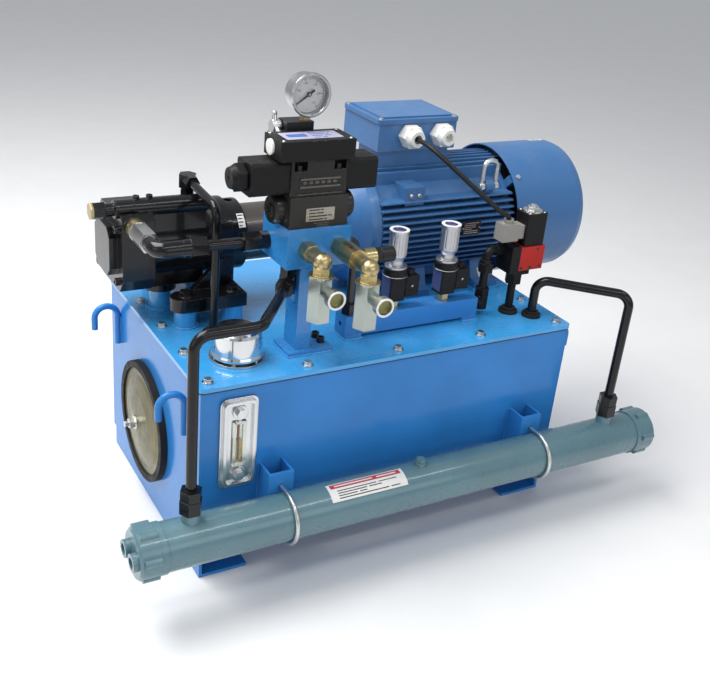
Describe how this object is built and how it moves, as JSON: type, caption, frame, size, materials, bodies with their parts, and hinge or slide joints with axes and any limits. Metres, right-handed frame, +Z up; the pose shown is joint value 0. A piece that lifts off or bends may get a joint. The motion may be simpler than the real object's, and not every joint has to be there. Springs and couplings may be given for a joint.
{
  "type": "hydraulic power unit",
  "caption": "Hydraulic power unit: blue oil tank carrying an electric motor and pump, valve stack, pressure gauge, pressure switches and a front shell-and-tube cooler.",
  "frame": {"origin": "centre of the foot bolt pattern on the floor", "axes": "+X along the tank towards the motor, +Y from the cooler side to the back, +Z up"},
  "size_m": [1.167, 0.6425, 0.9025],
  "materials": {
    "tank_blue": "glossy blue enamel",
    "lid_blue": "glossy lighter blue enamel",
    "motor_blue": "satin deep blue paint on castings",
    "cooler_paint": "satin grey-teal paint",
    "black_paint": "satin black paint",
    "black_iron": "black painted casting",
    "phosphate": "black phosphated steel",
    "zinc": "bright zinc plated steel",
    "yellow_zinc": "yellow chromated zinc",
    "chrome_cap": "chrome plated pressed steel",
    "steel": "ground steel",
    "aluminium": "turned aluminium",
    "cast_alu": "cast aluminium",
    "copper": "copper",
    "lamination": "varnished steel laminations",
    "black_plastic": "black glass-filled plastic",
    "grey_plastic": "light grey plastic",
    "white_plastic": "white nylon",
    "red_block": "red anodised block",
    "black_rubber": "nitrile rubber",
    "red_rubber": "polyurethane",
    "window": "clear sight window",
    "gauge_steel": "stainless gauge case",
    "khaki_cover": "yellow passivated pressing",
    "valve_grey": "dark grey painted casting",
    "cable": "black cable sheath"
  },
  "bodies": {
    "unit": {"tank_shell": "tank_blue", "tank_lid": "lid_blue", "lid_gasket": "black_rubber", "lid_bolts": "zinc", "tank_feet": "tank_blue", "lifting_hooks": "tank_blue", "cleanout_cover": "khaki_cover", "cleanout_seal": "black_rubber", "cleanout_bolt": "zinc", "level_gauge_frame": "aluminium", "level_gauge_window": "window", "lid_grommets": "black_rubber", "breather_base": "zinc", "cooler_shell": "cooler_paint", "cooler_caps": "cooler_paint", "cooler_tubes": "copper", "cooler_ubolts": "zinc", "return_line": "phosphate", "tank_line": "phosphate", "pressure_line": "phosphate", "drain_line": "phosphate", "suction_pipe": "phosphate", "motor_frame": "motor_blue", "motor_shield": "motor_blue", "fan_cowl": "motor_blue", "stator_core": "lamination", "terminal_box": "motor_blue", "terminal_box_lid": "motor_blue", "cable_glands": "white_plastic", "pump_bracket": "black_iron", "coupling_tube": "black_iron", "pump_body": "black_iron", "pump_compensator": "black_iron", "manifold_block": "lid_blue", "manifold_stand": "tank_blue", "modular_valve": "valve_grey", "valve_body": "valve_grey", "solenoids": "black_plastic", "wiring_box": "black_plastic", "gauge_riser": "yellow_zinc", "gauge_case": "gauge_steel", "outlet_fittings": "yellow_zinc", "header_block": "tank_blue", "switch_bodies": "black_plastic", "unload_valve": "red_block", "unload_line": "phosphate", "valve_cable": "cable"},
    "rotor": {"rotor_shaft": "steel", "cooling_fan": "black_plastic", "coupling_motor": "cast_alu", "coupling_spider": "red_rubber"},
    "pump_rotor": {"coupling_pump": "cast_alu", "pump_shaft": "steel"},
    "spool": {"valve_spool": "steel"},
    "isolator": {"isolator_lever": "zinc"},
    "needle": {"gauge_needle": "black_paint"},
    "filler_cap": {"breather_cap": "chrome_cap"},
    "knob_left": {"switch_knob_left": "aluminium"},
    "knob_right": {"switch_knob_right": "aluminium"},
    "link": {"lifting_link": "zinc"}
  },
  "joints": [
    {"name": "rotor_spin", "type": "hinge", "parent": "unit", "child": "rotor", "pos_m": [0, 0.088, 0.545], "axis": [1, 0, 0], "continuous": true},
    {"name": "pump_spin", "type": "hinge", "parent": "unit", "child": "pump_rotor", "pos_m": [-0.3, 0.088, 0.545], "axis": [1, 0, 0], "continuous": true},
    {"name": "spool_shift", "type": "slide", "parent": "unit", "child": "spool", "axis": [1, 0, 0], "range_m": [-0.0035, 0.0035], "stiffness_N_per_m": 4000},
    {"name": "isolator_turn", "type": "hinge", "parent": "unit", "child": "isolator", "pos_m": [-0.204, -0.088, 0.806], "axis": [-1, 0, 0], "range_deg": [0, 360]},
    {"name": "gauge_sweep", "type": "hinge", "parent": "unit", "child": "needle", "pos_m": [-0.16, -0.096, 0.864], "axis": [0, 1, 0], "range_deg": [0, 270]},
    {"name": "cap_turn", "type": "hinge", "parent": "unit", "child": "filler_cap", "pos_m": [-0.301, -0.1635, 0.43], "axis": [0, 0, 1], "range_deg": [0, 45]},
    {"name": "knob_left_turn", "type": "hinge", "parent": "unit", "child": "knob_left", "pos_m": [0.033, -0.146, 0.54], "axis": [0, 0, 1], "range_deg": [-150, 150]},
    {"name": "knob_right_turn", "type": "hinge", "parent": "unit", "child": "knob_right", "pos_m": [0.152, -0.146, 0.54], "axis": [0, 0, 1], "range_deg": [-150, 150]},
    {"name": "link_swing", "type": "hinge", "parent": "unit", "child": "link", "pos_m": [0.322, -0.025, 0.638], "axis": [1, 0, 0], "range_deg": [-20, 75]}
  ],
  "couplings": [
    {"joint": "pump_spin", "follows": "rotor_spin", "ratio": 1}
  ]
}
